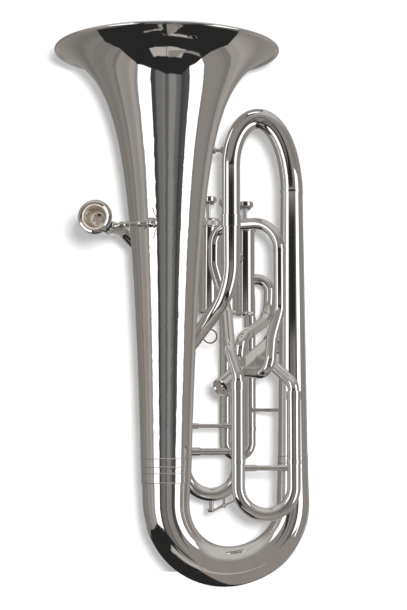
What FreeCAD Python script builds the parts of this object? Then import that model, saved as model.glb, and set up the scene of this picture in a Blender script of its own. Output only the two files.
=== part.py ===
import FreeCAD
import Part
import math
import os

# Tenor tuba with a front-facing bell axis, three top-action pistons and a leaning fourth one.
# Millimetres. Z runs up along the bell, X to the right and Y away from the side with the mouthpiece.
# The origin is the lowest point of the bottom bow, midway between its two legs.

V = FreeCAD.Vector
UP = V(0, 0, 1)
DOWN = V(0, 0, -1)
BACK = V(0, 1, 0)
ORIGIN = V(0, 0, 0)

# Clearances
SEAT = 0.1              # gap left between pieces that are soldered or seated
SLIDE_FIT = 0.1         # radial play of a slide leg in its sleeve
PISTON_FIT = 0.1        # radial play of a piston in its casing
STEM_FIT = 0.5          # radial play of a stem in its cap

# Bell
HEIGHT = 662.0
BELL_AXIS = -77.5
BELL_RADIUS = 140.0
BELL_FLARE = 26.5       # height below the rim over which the radius falls to 0.71 of the rim's
BELL_SHEET = 0.7
BELL_JOINT = 141.2      # height where the bell meets the bottom bow
BEAD_RADIUS = 2.2
BEAD_FLAT = 0.5         # what is turned off the top of the rim bead
FERRULE_BELOW = 15.4
FERRULE_ABOVE = 15.4
FERRULE_SHEET = 0.6
LINE_RAISE = 0.5        # how far a decorative line stands off its tube
LINE_WIDTH = 1.4

# Bottom bow and its guard
BOW_HALF = 77.5
BOW_BIG = 30.2
BOW_SMALL = 18.4
BOW_HOLLOW = 0.8        # how far the taper sags below a straight cone at mid length
BOW_SWELL = 2.5         # how far the bend bulges on the bell side
BOW_SHEET = 0.8
GUARD_SHEET = 0.9
GUARD_FIRST = 16.0      # sweep angles where the guard starts and ends
GUARD_LAST = 148.0
GUARD_DEEPEST = 46.0    # sweep angle where the guard wraps furthest round the tube
GUARD_WRAP = 71.0       # how far it wraps there, in degrees each way

# Outer branch and top bow
BRANCH_AXIS = 77.5
BRANCH_JOINT = 150.0
BRANCH_BIG = 18.3
BRANCH_SMALL = 13.7
BRANCH_TOP = 484.0
BRANCH_SHEET = 0.7
TOP_BOW_APEX_X = 36.0
TOP_BOW_APEX = 574.6
TOP_BOW_LEG_X = 2.1
TOP_BOW_LEG_Y = -10.0
TOP_BOW_LEG_TOP = 515.0
TOP_BOW_SMALL = 11.3
LEFT_JOINT = 446.6
LEFT_SMALL = 8.2

# Slides
SLEEVE_WALL = 0.6
LEG_WALL = 0.5
CROOK_WALL = 0.7
BIG_SLEEVE = 8.3
BIG_CROOK = 8.2
SMALL_SLEEVE = 7.1
SMALL_CROOK = 7.0
COLLAR_REACH = 5.0
RING_LENGTH = 2.5
RING_RAISE = 0.6

MAIN_PLANE = 42.0
MAIN_LEFT = -55.5
MAIN_RIGHT = 11.3
MAIN_SLEEVE_END = 172.0
MAIN_LEFT_TOP = 262.0
MAIN_RIGHT_TOP = 226.0
MAIN_BEND = 142.3
MAIN_ENGAGED = 50.0
MAIN_FIXED_BRACE = 194.3
MAIN_CROOK_BRACE = 162.3

FOURTH_PLANE = -35.0
FOURTH_LEFT = 9.8
FOURTH_RIGHT = 76.6
FOURTH_SLEEVE_END = 152.8
FOURTH_LEFT_TOP = 244.0
FOURTH_RIGHT_TOP = 232.0
FOURTH_BEND = 123.0
FOURTH_ENGAGED = 70.0
FOURTH_CROOK_BRACE = 145.1

THIRD_PLANE = 107.0
THIRD_LEFT = -3.5
THIRD_RIGHT = 29.1
THIRD_SLEEVE_END = 189.4
THIRD_BEND = 171.5
THIRD_ENGAGED = 95.0
THIRD_SLEEVE_TOP = 330.0
THIRD_BRACE = 214.0

FIRST_PLANE = 62.0
FIRST_LEFT = -96.0
FIRST_RIGHT = -64.0
FIRST_SLEEVE_END = 290.0
FIRST_BEND = 274.0
FIRST_ENGAGED = 42.0
FIRST_SLEEVE_TOP = 345.0

SECOND_PULL = V(-0.676, 0.737, 0)
SECOND_SLEEVE_START = 14.0
SECOND_SLEEVE_END = 44.0
SECOND_BEND = 50.0
SECOND_ENGAGED = 26.0

# Valve tubing
LOOP = 7.0
LOOP_WALL = 0.6
LEADPIPE = 6.6

# Valves: heights are measured up the casing from the face of its bottom cap
VALVE_FIRST = V(-25.6, 44.0, 336.0)
VALVE_STEP = V(24.0, 22.0, 0)
FOURTH_VALVE = V(-10.8, -8.0, 240.0)
FOURTH_VALVE_AXIS = V(0.605, 0.6, 0.52).normalize()
CASING = 12.2
CASING_BORE = 9.9
CASING_START = 5.3
CASING_LENGTH = 111.5
TOP_CAP = 14.0
TOP_CAP_SKIRT = 8.0
TOP_CAP_PLATE = 4.2
BOTTOM_CAP = 12.6
BOTTOM_CAP_DISH = 1.8
SPIGOT = 2.7
STROKE = 17.5
PISTON_LENGTH = 90.0
PISTON_RECESS = 19.0
PASSAGE = 6.2
STEM = 2.6
BUTTON = 10.5
BUTTON_HEIGHT = 7.0
HUB = 4.2
HUB_LENGTH = 2.5
FELT = 7.6
SPRING_RADIUS = 7.0
SPRING_WIRE = 0.9
SPRING_TURNS = 6

# Mouthpiece and receiver
MOUTH_RIM = V(-156.3, -137.0, 435.1)
MOUTH_AXIS = V(0.106, 0.994, 0).normalize()
RIM_RADIUS = 19.7
CUP_RADIUS = 12.9
CUP_DEPTH = 31.0
THROAT = 3.2
MOUTH_LENGTH = 88.0
SHANK = 6.1
RECEIVER_START = 62.4
RECEIVER_LENGTH = 33.2
RECEIVER = 8.0

# Strap ring
STRAP_BORE = 7.6
STRAP_RIM = 9.4
STRAP_THICK = 2.0


# ---------------------------------------------------------------- helpers

def keep(name, *solids):
    """Write one sub-part."""
    shape = solids[0] if len(solids) == 1 else Part.makeCompound(list(solids))
    shape.exportStep(f"parts/{name}.step")


def largest(shape):
    """The main solid of a cut, without loose slivers."""
    return max(shape.Solids, key=lambda solid: solid.Volume)


def outward(solid):
    """The same solid with its faces turned outward."""
    if solid.Volume < 0:
        solid.reverse()
    return solid


def circle(centre, direction, radius, side=BACK):
    """Circle round a direction that starts on the given side."""
    forward = V(direction).normalize()
    first = side - forward * side.dot(forward)
    if first.Length < 0.2:
        first = UP - forward * UP.dot(forward)
    first.normalize()
    edge = Part.makeCircle(radius)
    turn = FreeCAD.Rotation(first, forward.cross(first), forward, "ZXY")
    edge.Placement = FreeCAD.Placement(centre, turn)
    return Part.Wire([edge])


def ring_face(centre, direction, outer, wall):
    wires = [circle(centre, direction, outer), circle(centre, direction, outer - wall)]
    return Part.makeFace(wires, "Part::FaceMakerBullseye")


def lathe(profile, base=ORIGIN, direction=UP):
    """Turned piece: (radius, height) corners revolved and stood at base along a direction."""
    points = [V(radius, 0, height) for radius, height in profile]
    face = Part.Face(Part.makePolygon(points + points[:1]))
    solid = outward(Part.makeSolid(face.revolve(ORIGIN, UP, 360).Shells[0]))
    solid.Placement = FreeCAD.Placement(base, FreeCAD.Rotation(UP, direction))
    return solid


def ring(centre, direction, inner, outer, length):
    """Plain ring centred on a point."""
    half = length / 2
    profile = [(inner, -half), (outer, -half), (outer, half), (inner, half)]
    return lathe(profile, centre, direction)


def bend_path(corners, radii):
    """Straight runs joined by tangent bends, one bend radius for each inner corner."""
    runs = []
    start = corners[0]
    for before, corner, after, radius in zip(corners, corners[1:], corners[2:], radii):
        inward = (corner - before).normalize()
        outward = (after - corner).normalize()
        turn = inward.getAngle(outward)
        reach = radius * math.tan(turn / 2)
        first = corner - inward * reach
        runs.append(("straight", start, first, inward, 0, 0))
        runs.append(("bend", first, inward.cross(outward).normalize(), inward, radius, turn))
        start = corner + outward * reach
    ending = (corners[-1] - start).normalize()
    runs.append(("straight", start, corners[-1], ending, 0, 0))
    return runs


def pipe(route, outer, wall):
    """Tube of one bore along a route of corners and bend radii."""
    pieces = []
    for kind, start, other, forward, radius, turn in bend_path(*route):
        face = ring_face(start, forward, outer, wall)
        if kind == "straight" and (other - start).Length > SEAT:
            pieces.append(face.extrude(other - start))
        if kind == "bend":
            centre = start + other.cross(forward) * radius
            pieces.append(face.revolve(centre, other, math.degrees(turn)))
    return largest(pieces[0].multiFuse(pieces[1:])) if len(pieces) > 1 else pieces[0]


def taper_groups(route, first_radius, last_radius, step=9.0):
    """Station groups along a route whose radius changes evenly with the distance."""
    runs = bend_path(*route)
    lengths = [(run[2] - run[1]).Length if run[0] == "straight" else run[4] * run[5] for run in runs]
    groups = []
    walked = 0.0
    for (kind, start, other, forward, radius, turn), length in zip(runs, lengths):
        count = 1 if kind == "straight" else math.ceil(math.degrees(turn) / step)
        group = []
        for index in range(count + 1):
            spot, way = spot_at(route, walked + length * index / count)
            share = (walked + length * index / count) / sum(lengths)
            group.append((spot, way, first_radius + (last_radius - first_radius) * share))
        groups.append(group)
        walked += length
    return groups


def spot_at(route, distance):
    """Point and direction at a distance along a route."""
    for kind, start, other, forward, radius, turn in bend_path(*route):
        length = (other - start).Length if kind == "straight" else radius * turn
        if distance <= length:
            break
        distance -= length
    if kind == "straight":
        return start + forward * distance, forward
    centre = start + other.cross(forward) * radius
    spin = FreeCAD.Rotation(other, math.degrees(distance / radius))
    return centre + spin.multVec(start - centre), spin.multVec(forward)


def taper_tube(groups, wall):
    """Tube through groups of (centre, direction, radius) stations that share their end stations.

    A group of two is a straight cone and a longer one a smooth bend. The tube is sewn from its skins.
    """
    faces = []
    for depth in (0, wall):
        for group in groups:
            wires = [circle(at, way, radius - depth) for at, way, radius in group]
            faces += Part.makeLoft(wires, False).Faces
    faces += [ring_face(*station, wall) for station in (groups[0][0], groups[-1][-1])]
    skin = Part.makeCompound(faces)
    skin.sewShape()
    return outward(Part.makeSolid(skin.Shells[0]))


def straight_tube(start, end, outer, wall):
    return ring_face(start, end - start, outer, wall).extrude(end - start)


def post(start, end, radius):
    return Part.makeCylinder(radius, (end - start).Length, start, end - start)


def clear_of(shape, centre, direction, radius, reach=90.0):
    """Cut a shape back to a seat round a tube."""
    tube = Part.makeCylinder(radius + SEAT, 2 * reach, centre - direction * reach, direction)
    return largest(shape.cut(tube))


def brace(first, second, first_tube, second_tube, rod, first_foot, second_foot, axis=UP):
    """Turned stay between two tubes. A foot is its radius and length."""
    span = (second - first).Length
    start = first_tube + first_foot[1]
    end = span - second_tube - second_foot[1]
    cone = rod / 3
    profile = [(0, 0), (first_foot[0], 0), (first_foot[0], start), (rod, start + cone)]
    profile += [(rod, end - cone), (second_foot[0], end), (second_foot[0], span), (0, span)]
    bar = lathe(profile, first, second - first)
    bar = clear_of(bar, first, axis, first_tube)
    return clear_of(bar, second, axis, second_tube)


def sleeve(end, out, length, radius, feed):
    """Outer slide tube: a bead at its open end, and a collar round the feed at the other."""
    bore = radius - SLEEVE_WALL
    thick = max(radius, feed) + RING_RAISE
    profile = [(bore, 0), (radius + RING_RAISE, 0), (radius + RING_RAISE, RING_LENGTH)]
    profile += [(radius, RING_LENGTH), (radius, length - COLLAR_REACH), (thick, length - COLLAR_REACH)]
    profile += [(thick, length + COLLAR_REACH), (feed + SEAT, length + COLLAR_REACH)]
    profile += [(feed + SEAT, length - SEAT), (bore, length - SEAT)]
    return lathe(profile, end, out * -1)


def crook(first, second, out, stub, engaged, sleeve_radius, radius):
    """Moving half of a slide: a U bend, its two ferrule rings and the legs inside the sleeves."""
    bend = (second - first).Length / 2
    leg = sleeve_radius - SLEEVE_WALL - SLIDE_FIT
    corner = out * (stub + bend)
    route = ([first + out * SEAT, first + corner, second + corner, second + out * SEAT], [bend, bend])
    pieces = []
    for end in (first, second):
        pieces.append(straight_tube(end - out * engaged, end + out * COLLAR_REACH, leg, LEG_WALL))
        middle = end + out * (SEAT + RING_LENGTH / 2)
        pieces.append(ring(middle, out, radius - CROOK_WALL, radius + RING_RAISE, RING_LENGTH))
    return largest(pipe(route, radius, CROOK_WALL).multiFuse(pieces))


# ---------------------------------------------------------------- bell and bows

def bell_radius(height):
    return BELL_RADIUS * math.sqrt(BELL_FLARE / (HEIGHT - height + BELL_FLARE))


def bell_height(radius):
    return HEIGHT + BELL_FLARE - BELL_FLARE * (BELL_RADIUS / radius) ** 2


def bell_curve(offset, first, last, count=16):
    """Smooth outline of the bell at an offset from its outer face."""
    points = []
    for index in range(count + 1):
        radius = bell_radius(first) + (bell_radius(last) - bell_radius(first)) * (index / count) ** 1.6
        slope = radius / (2 * BELL_FLARE * (BELL_RADIUS / radius) ** 2)
        length = math.hypot(1, slope)
        points.append(V(radius + offset / length, 0, bell_height(radius) - offset * slope / length))
    curve = Part.BSplineCurve()
    curve.interpolate(points)
    return curve.toShape()


def bell_shell(near, far, first, last):
    """Shell of revolution between two offsets from the bell's outer face."""
    inner = bell_curve(near, first, last)
    outer = bell_curve(far, first, last)
    low = Part.makeLine(inner.Vertexes[0].Point, outer.Vertexes[0].Point)
    high = Part.makeLine(inner.Vertexes[1].Point, outer.Vertexes[1].Point)
    face = Part.Face(Part.Wire([inner, high, outer, low]))
    shell = outward(Part.makeSolid(face.revolve(ORIGIN, UP, 360).Shells[0]))
    shell.translate(V(BELL_AXIS, 0, 0))
    return shell


def bead_place():
    """Centre radius and height of the rim bead."""
    return BELL_RADIUS - BEAD_RADIUS, HEIGHT - BEAD_RADIUS + BEAD_FLAT


def bell():
    centre, height = bead_place()
    last = bell_height(centre - BEAD_RADIUS - SEAT)
    return bell_shell(-BELL_SHEET, 0, BELL_JOINT + SEAT, last)


def bell_rim_bead():
    centre, height = bead_place()
    bead = Part.makeTorus(centre, BEAD_RADIUS, V(BELL_AXIS, 0, height))
    top = Part.makeBox(4 * BELL_RADIUS, 4 * BELL_RADIUS, BEAD_RADIUS)
    top.translate(V(BELL_AXIS - 2 * BELL_RADIUS, -2 * BELL_RADIUS, HEIGHT))
    return largest(bead.cut(top))


def bow_share(sweep, centre):
    """Share of the bow's run at a sweep angle in degrees, for a bend centre at this height."""
    left = BELL_JOINT - centre
    right = BRANCH_JOINT - centre
    bend = math.pi * BOW_HALF
    return (left + bend * sweep / 180) / (left + bend + right)


def bow_radius(share):
    return BOW_BIG + (BOW_SMALL - BOW_BIG) * share - BOW_HOLLOW * math.sin(math.pi * share) ** 2


def bow_bend(sweep):
    """Radius of the bow's centre line at a sweep angle in degrees."""
    return BOW_HALF + BOW_SWELL * math.sin(math.radians(1.5 * min(sweep, 120))) ** 2


def deepest(centre):
    """How far the guard reaches below a bend centre at this height."""
    reaches = []
    for sweep in range(60, 121, 2):
        reach = bow_bend(sweep) + bow_radius(bow_share(sweep, centre)) + SEAT + GUARD_SHEET
        reaches.append(reach * math.sin(math.radians(sweep)))
    return max(reaches)


# Height of the bend centre that puts the guard's lowest point at zero
BOW_CENTRE = deepest(deepest(BOW_HALF + BOW_BIG))


def bow_point(sweep, reach):
    angle = math.radians(sweep)
    return V(-reach * math.cos(angle), 0, BOW_CENTRE - reach * math.sin(angle))


def bow_way(sweep):
    """Direction of travel along the bow."""
    return (bow_point(sweep + 1, bow_bend(sweep + 1)) - bow_point(sweep - 1, bow_bend(sweep - 1))).normalize()


def bow_station(sweep, extra=0.0):
    return bow_point(sweep, bow_bend(sweep)), bow_way(sweep), bow_radius(bow_share(sweep, BOW_CENTRE)) + extra


def bottom_bow():
    """Straight left leg, the bend and the straight right leg."""
    bend = [bow_station(sweep) for sweep in range(0, 181, 12)]
    bend[0] = (V(BELL_AXIS, 0, BOW_CENTRE), DOWN, bend[0][2])
    bend[-1] = (V(BRANCH_AXIS, 0, BOW_CENTRE), UP, bend[-1][2])
    left = [(V(BELL_AXIS, 0, BELL_JOINT - SEAT), DOWN, BOW_BIG), bend[0]]
    right = [bend[-1], (V(BRANCH_AXIS, 0, BRANCH_JOINT - SEAT), UP, BOW_SMALL)]
    return taper_tube([left, bend, right], BOW_SHEET)


def guard_wrap(sweep):
    """How far the guard wraps round the tube at a sweep angle, in degrees."""
    if sweep < GUARD_DEEPEST:
        share = (sweep - GUARD_FIRST) / (GUARD_DEEPEST - GUARD_FIRST)
        return GUARD_WRAP * math.sin(math.pi / 2 * share)
    share = (sweep - GUARD_DEEPEST) / (GUARD_LAST - GUARD_DEEPEST)
    return GUARD_WRAP * (1 - share) ** 1.15


def bow_guard():
    """Saddle plate that follows the outer side of the bow."""
    sweeps = range(int(GUARD_FIRST) - 4, int(GUARD_LAST) + 5, 12)
    skin = taper_tube([[bow_station(sweep, SEAT + GUARD_SHEET) for sweep in sweeps]], GUARD_SHEET)
    edge = []
    for index in range(13):
        sweep = GUARD_FIRST + (GUARD_LAST - GUARD_FIRST) * index / 12
        reach = bow_station(sweep, GUARD_SHEET)[2]
        edge.append(bow_point(sweep, bow_bend(sweep) + reach * math.cos(math.radians(guard_wrap(sweep)))))
    curve = Part.BSplineCurve()
    curve.interpolate(edge)
    far = BOW_HALF + 2 * BOW_BIG
    around = [edge[-1]] + [bow_point(sweep, far) for sweep in (GUARD_LAST, 110, 75, 40, GUARD_FIRST)] + [edge[0]]
    face = Part.Face(Part.Wire([curve.toShape()] + Part.makePolygon(around).Edges))
    face.translate(BACK * -2 * BOW_BIG)
    return largest(skin.common(face.extrude(BACK * 4 * BOW_BIG)))


def lined(low, high, low_bore, middle, middle_bore, high_bore, base, lines):
    """Ferrule over a joint, with raised lines at the given heights."""
    outer = max(low_bore, high_bore, middle_bore[1]) + FERRULE_SHEET
    profile = [(low_bore, low), (outer, low), (outer, high), (high_bore, high)]
    profile += [(middle_bore[1], middle), (middle_bore[0], middle)]
    body = lathe(profile, base)
    rings = [ring(base + UP * line, UP, outer - SEAT, outer + LINE_RAISE, LINE_WIDTH) for line in lines]
    return body.multiFuse(rings)


def bell_ferrule():
    low = BELL_JOINT - FERRULE_BELOW
    high = BELL_JOINT + FERRULE_ABOVE
    half = LINE_WIDTH / 2
    lines = [low + half, low + FERRULE_BELOW * 0.8, BELL_JOINT + FERRULE_ABOVE * 0.3, high - half]
    bores = (BOW_BIG + SEAT, bell_radius(BELL_JOINT) + SEAT)
    return lined(low, high, BOW_BIG + SEAT, BELL_JOINT, bores, bell_radius(high) + SEAT, V(BELL_AXIS, 0, 0), lines)


def branch_ferrule():
    low = BRANCH_JOINT - 9
    high = BRANCH_JOINT + 9.4
    half = LINE_WIDTH / 2
    bores = (BOW_SMALL + 2 * SEAT, BRANCH_BIG + SEAT)
    low_bore = bow_station(180, SEAT)[2]
    lines = [low + half, high - half]
    return lined(low, high, low_bore, BRANCH_JOINT, bores, BRANCH_BIG + SEAT, V(BRANCH_AXIS, 0, 0), lines)


def branch_radius(height):
    share = (height - BRANCH_JOINT) / (BRANCH_TOP - BRANCH_JOINT)
    return BRANCH_BIG + (BRANCH_SMALL - BRANCH_BIG) * share


def outer_branch():
    profile = [(BRANCH_BIG - BRANCH_SHEET, BRANCH_JOINT + SEAT), (BRANCH_BIG, BRANCH_JOINT + SEAT)]
    profile += [(BRANCH_SMALL, BRANCH_TOP - SEAT), (BRANCH_SMALL - BRANCH_SHEET, BRANCH_TOP - SEAT)]
    return lathe(profile, V(BRANCH_AXIS, 0, 0))


def top_bow_point(turn):
    """Centre line of the top bow: 0 at the left leg, 90 at the apex and 180 at the right leg."""
    angle = math.radians(turn)
    left = turn < 90
    wide = TOP_BOW_APEX_X - TOP_BOW_LEG_X if left else BRANCH_AXIS - TOP_BOW_APEX_X
    base = TOP_BOW_LEG_TOP if left else BRANCH_TOP
    across = TOP_BOW_APEX_X - wide * math.cos(angle)
    share = (across - TOP_BOW_LEG_X) / (BRANCH_AXIS - TOP_BOW_LEG_X)
    return V(across, TOP_BOW_LEG_Y * (1 - share), base + (TOP_BOW_APEX - base) * math.sin(angle))


def top_bow_radius(share):
    return TOP_BOW_SMALL + (BRANCH_SMALL - TOP_BOW_SMALL) * share


def top_bow():
    foot = V(TOP_BOW_LEG_X, TOP_BOW_LEG_Y, LEFT_JOINT + SEAT)
    knee = V(TOP_BOW_LEG_X, TOP_BOW_LEG_Y, TOP_BOW_LEG_TOP)
    stations = [(knee, UP, TOP_BOW_SMALL)]
    for turn in range(12, 180, 12):
        way = (top_bow_point(turn + 1) - top_bow_point(turn - 1)).normalize()
        stations.append((top_bow_point(turn), way, top_bow_radius(turn / 180)))
    stations.append((V(BRANCH_AXIS, 0, BRANCH_TOP), DOWN, BRANCH_SMALL))
    return taper_tube([[(foot, UP, TOP_BOW_SMALL), stations[0]], stations], BRANCH_SHEET)


def top_bow_ferrule():
    low = LEFT_JOINT - 6.9
    high = LEFT_JOINT + 6.9
    bore = TOP_BOW_SMALL + SEAT
    half = LINE_WIDTH / 2
    base = V(TOP_BOW_LEG_X, TOP_BOW_LEG_Y, 0)
    return lined(low, high, bore, LEFT_JOINT, (bore, bore), bore, base, [low + half, high - half])


def left_branch_route():
    top = V(TOP_BOW_LEG_X, TOP_BOW_LEG_Y, LEFT_JOINT - SEAT)
    knee = V(TOP_BOW_LEG_X, TOP_BOW_LEG_Y, 361)
    foot = V(MAIN_LEFT, MAIN_PLANE, MAIN_LEFT_TOP + 24)
    return [top, knee, foot, V(MAIN_LEFT, MAIN_PLANE, MAIN_LEFT_TOP)], [80, 30]


def left_branch():
    return taper_tube(taper_groups(left_branch_route(), TOP_BOW_SMALL, LEFT_SMALL), CROOK_WALL)


# ---------------------------------------------------------------- valve positions and tube routes

def valve_base(number):
    return VALVE_FIRST + VALVE_STEP * (number - 1)


def port(number, height):
    """Point on a valve's axis at a height above the origin."""
    base = valve_base(number)
    return V(base.x, base.y, height)


def fourth_port(height):
    return FOURTH_VALVE + FOURTH_VALVE_AXIS * height


def link_route():
    """Second turn of the fourth loop's inner end, from the loop crook down to the front slide."""
    top = V(-19, 22, 418)
    end = V(FOURTH_LEFT, FOURTH_PLANE, FOURTH_LEFT_TOP)
    return [top, V(-19, 22, 395), V(-3, 29, 340), V(0, -22, 288), end + UP * 10, end], [30, 22, 20, 18]


def loop_crook_route():
    left = V(-19, 22, 418 + SEAT)
    right = V(61, -17, 409)
    peak = 444.5
    return [left, V(left.x, left.y, peak), V(right.x, right.y, peak), right], [24, 35]


def return_route():
    top = V(61, -17, 409 - SEAT)
    return [top, V(61, -17, 336), V(51.5, -22, 303), V(47.5, -30.5, 258), fourth_port(43)], [40, 40, 17]


def fourth_feed_route():
    end = V(FOURTH_RIGHT, FOURTH_PLANE, FOURTH_RIGHT_TOP)
    return [end, end + UP * 14, V(54.5, -13, 268), fourth_port(72)], [16, 22]


def crossover_route():
    start = port(3, 383.3)
    return [start, V(54, 86, 383.3), V(52, 82, 332), V(10.2, -8.5, 298.5), fourth_port(43)], [17, 34, 18]


def main_feed_route():
    end = V(MAIN_RIGHT, MAIN_PLANE, MAIN_RIGHT_TOP)
    return [end, end + UP * 12, fourth_port(37)], [14]


def leadpipe_route():
    start = MOUTH_RIM + MOUTH_AXIS * (MOUTH_LENGTH + 2)
    leaving = MOUTH_RIM + MOUTH_AXIS * (MOUTH_LENGTH + 11)
    corners = [start, leaving, V(-134, 6, 437.5), V(-113, 47, 417), V(-72, 62, 412.5), port(1, 411)]
    return corners, [35, 35, 35, 35]


def third_feed_routes():
    right = V(THIRD_RIGHT, THIRD_PLANE, THIRD_SLEEVE_TOP)
    left = V(THIRD_LEFT, THIRD_PLANE, THIRD_SLEEVE_TOP)
    right_port = port(3, 370)
    left_port = port(3, 400)
    yield [right, V(right.x, right.y, right_port.z), right_port], [13]
    yield [left, V(left.x, left.y, left_port.z), left_port], [13]


def first_feed_routes():
    right = V(FIRST_RIGHT, FIRST_PLANE, FIRST_SLEEVE_TOP)
    left = V(FIRST_LEFT, FIRST_PLANE, FIRST_SLEEVE_TOP)
    right_port = port(1, 370)
    left_port = port(1, 388)
    yield [right, V(right.x, right.y, right_port.z), right_port], [16]
    yield [left, V(left.x, left.y, left_port.z), left_port], [16]


def clear_of_valve(shape, number):
    return clear_of(shape, port(number, 395), UP, CASING)


def clear_of_fourth(shape):
    return clear_of(shape, fourth_port(60), FOURTH_VALVE_AXIS, CASING)


# ---------------------------------------------------------------- slides

def main_slide():
    left = V(MAIN_LEFT, MAIN_PLANE, MAIN_SLEEVE_END)
    right = V(MAIN_RIGHT, MAIN_PLANE, MAIN_SLEEVE_END)
    keep("main_slide_sleeves",
         sleeve(left, DOWN, MAIN_LEFT_TOP - MAIN_SLEEVE_END, BIG_SLEEVE, LEFT_SMALL),
         sleeve(right, DOWN, MAIN_RIGHT_TOP - MAIN_SLEEVE_END, BIG_SLEEVE, LOOP + RING_RAISE))
    rise = MAIN_FIXED_BRACE - MAIN_SLEEVE_END
    foot = (3.4, 9.0)
    keep("main_sleeve_brace",
         brace(left + UP * rise, right + UP * rise, BIG_SLEEVE, BIG_SLEEVE, 2.4, foot, foot))
    body = crook(left, right, DOWN, MAIN_SLEEVE_END - MAIN_BEND, MAIN_ENGAGED, BIG_SLEEVE, BIG_CROOK)
    keep("main_slide_crook", drilled_for_water(body))
    drop = MAIN_CROOK_BRACE - MAIN_SLEEVE_END
    bar = brace(left + UP * drop, right + UP * drop, BIG_CROOK, BIG_CROOK, 4.0, (5.0, 11.0), (5.0, 3.0))
    keep("main_slide_brace", bar)
    feed = pipe(main_feed_route(), LOOP + RING_RAISE, LOOP_WALL)
    keep("main_slide_feed", clear_of_fourth(feed))


WATER_X = (MAIN_LEFT + MAIN_RIGHT) / 2
WATER_SEAT = MAIN_BEND - (MAIN_RIGHT - MAIN_LEFT) / 2 - BIG_CROOK - 9.5
WATER_NIPPLE = 3.0
WATER_HOLE = 1.6
WATER_PIVOT = V(WATER_X + 16, MAIN_PLANE, WATER_SEAT + 4.2)
WATER_PIN = 1.2
WATER_CHEEK = 3.4       # distance of each saddle cheek from the lever's middle
PIN_FIT = 0.05


def drilled_for_water(body):
    """Main crook with the water key's nipple and saddle."""
    middle = V(WATER_X, MAIN_PLANE, WATER_SEAT)
    inside = UP * (9.5 + CROOK_WALL / 2)
    body = body.fuse(post(middle, middle + inside, WATER_NIPPLE))
    for side in (-1, 1):
        shift = BACK * side * WATER_CHEEK
        cheek = post(WATER_PIVOT + shift - BACK * 0.6, WATER_PIVOT + shift + BACK * 0.6, 2.6)
        stalk = Part.makeBox(3.2, 1.2, 9.0, WATER_PIVOT + shift + V(-1.6, -0.6, 0.5))
        body = body.fuse(cheek.fuse(stalk))
    half = BACK * (WATER_CHEEK + 1.6)
    body = body.cut(post(WATER_PIVOT - half, WATER_PIVOT + half, WATER_PIN))
    body = body.fuse(post(WATER_PIVOT - half, WATER_PIVOT + half, WATER_PIN - PIN_FIT))
    drill = post(middle - UP, middle + UP * (10 + BIG_CROOK), WATER_HOLE)
    return largest(body.cut(drill))


def water_key():
    """Lever with a pad under the nipple, a pivot barrel and a thumb end that rises to the right."""
    pad = V(WATER_X, MAIN_PLANE, WATER_SEAT - SEAT)
    barrel_half = BACK * (WATER_CHEEK - 0.8)
    pivot = WATER_PIVOT
    arm_low = post(pad - UP * 3.4, pivot, 1.5)
    thumb = pivot + V(15.5, 0, 7.0)
    arm_high = post(pivot, thumb, 1.5)
    plate = lathe([(0, -0.7), (4.2, -0.7), (4.6, 0), (4.2, 0.7), (0, 0.7)], thumb, V(-0.42, 0, 1))
    cup = lathe([(0, -4.2), (3.4, -4.2), (4.6, -2.4), (4.6, 0), (0, 0)], pad)
    barrel = post(pivot - barrel_half, pivot + barrel_half, 2.4)
    key = cup.multiFuse([arm_low, arm_high, plate, barrel])
    pin = post(pivot - BACK * 9, pivot + BACK * 9, WATER_PIN + PIN_FIT)
    keep("water_key_lever", largest(key.cut(pin)))


def fourth_slide():
    left = V(FOURTH_LEFT, FOURTH_PLANE, FOURTH_SLEEVE_END)
    right = V(FOURTH_RIGHT, FOURTH_PLANE, FOURTH_SLEEVE_END)
    keep("fourth_slide_sleeves",
         sleeve(left, DOWN, FOURTH_LEFT_TOP - FOURTH_SLEEVE_END, BIG_SLEEVE, LOOP),
         sleeve(right, DOWN, FOURTH_RIGHT_TOP - FOURTH_SLEEVE_END, BIG_SLEEVE, LOOP))
    stub = FOURTH_SLEEVE_END - FOURTH_BEND
    keep("fourth_slide_crook", crook(left, right, DOWN, stub, FOURTH_ENGAGED, BIG_SLEEVE, BIG_CROOK))
    drop = FOURTH_CROOK_BRACE - FOURTH_SLEEVE_END
    bar = brace(left + UP * drop, right + UP * drop, BIG_CROOK, BIG_CROOK, 3.0, (3.9, 13.0), (3.9, 10.0))
    keep("fourth_slide_brace", bar)


def third_slide():
    left = V(THIRD_LEFT, THIRD_PLANE, THIRD_SLEEVE_END)
    right = V(THIRD_RIGHT, THIRD_PLANE, THIRD_SLEEVE_END)
    length = THIRD_SLEEVE_TOP - THIRD_SLEEVE_END
    feeds = [clear_of_valve(pipe(route, LOOP, LOOP_WALL), 3) for route in third_feed_routes()]
    sleeves = [sleeve(end, DOWN, length, SMALL_SLEEVE, LOOP) for end in (left, right)]
    keep("third_slide_sleeves", *sleeves, *feeds)
    stub = THIRD_SLEEVE_END - THIRD_BEND
    keep("third_slide_crook", crook(left, right, DOWN, stub, THIRD_ENGAGED, SMALL_SLEEVE, SMALL_CROOK))
    first = V(right.x, right.y, THIRD_BRACE)
    second = V(BRANCH_AXIS, 0, THIRD_BRACE)
    foot = (3.2, 5.0)
    keep("third_slide_brace",
         brace(first, second, SMALL_SLEEVE, branch_radius(THIRD_BRACE - foot[0]), 2.2, foot, foot))


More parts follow.
